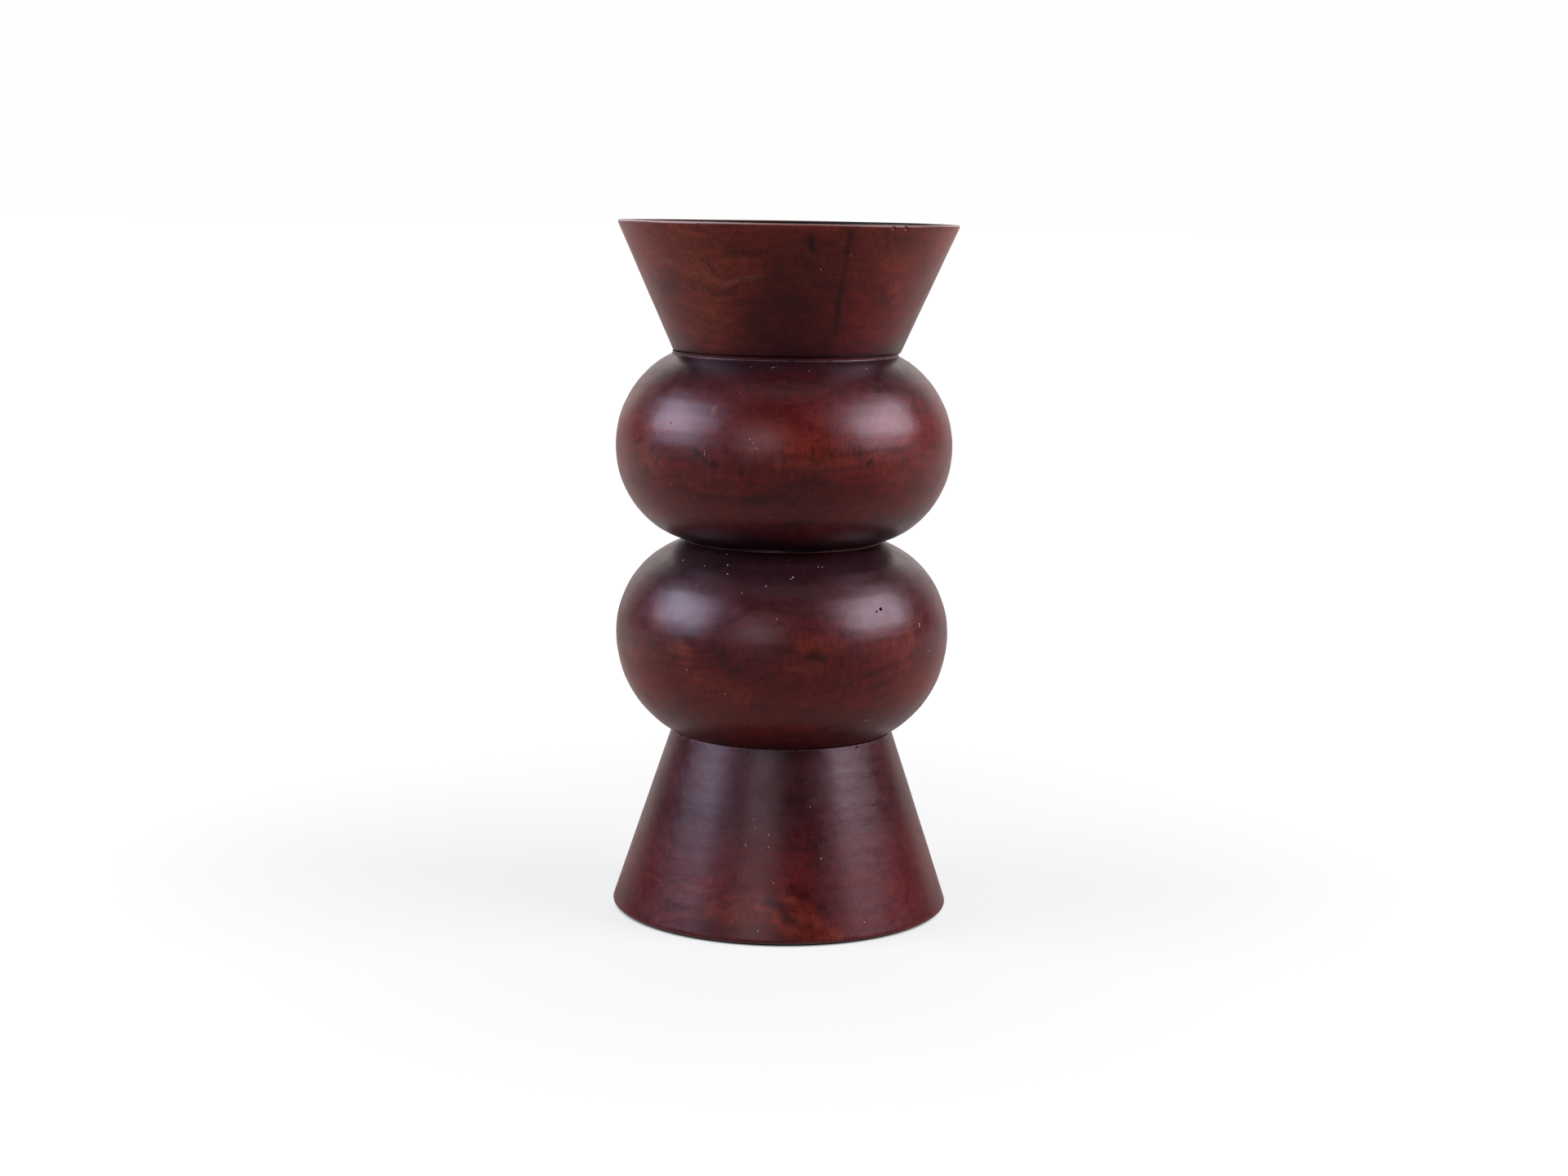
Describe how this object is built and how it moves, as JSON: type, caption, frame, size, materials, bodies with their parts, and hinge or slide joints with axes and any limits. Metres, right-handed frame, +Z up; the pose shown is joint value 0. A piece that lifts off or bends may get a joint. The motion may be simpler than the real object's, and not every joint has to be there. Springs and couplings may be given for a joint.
{
  "type": "double gourd vase",
  "caption": "Turned dark red wooden vase with a flared mouth, stacked squashed bulbs and a conical foot, and a black lift-out liner that holds water and stems.",
  "frame": {"origin": "centre of the base, on the surface that the vase stands on", "axes": "+Z up along the turning axis, X and Y across, with -Y towards the viewer of the picture"},
  "size_m": [0.1498, 0.1498, 0.305],
  "materials": {
    "stained_wood": "dark red stain under satin lacquer",
    "black_felt": "pressed felt",
    "black_enamel": "satin black enamel on sheet steel"
  },
  "bodies": {
    "vase": {"foot": "stained_wood", "felt_pad": "black_felt", "lower_bulb": "stained_wood", "upper_bulb": "stained_wood", "mouth": "stained_wood"},
    "liner": {"liner_collar": "black_enamel", "liner_tube": "black_enamel", "liner_bottom": "black_enamel"}
  },
  "joints": [
    {"name": "liner_lift", "type": "slide", "parent": "vase", "child": "liner", "axis": [0, 0, 1], "range_m": [0, 0.28]}
  ]
}
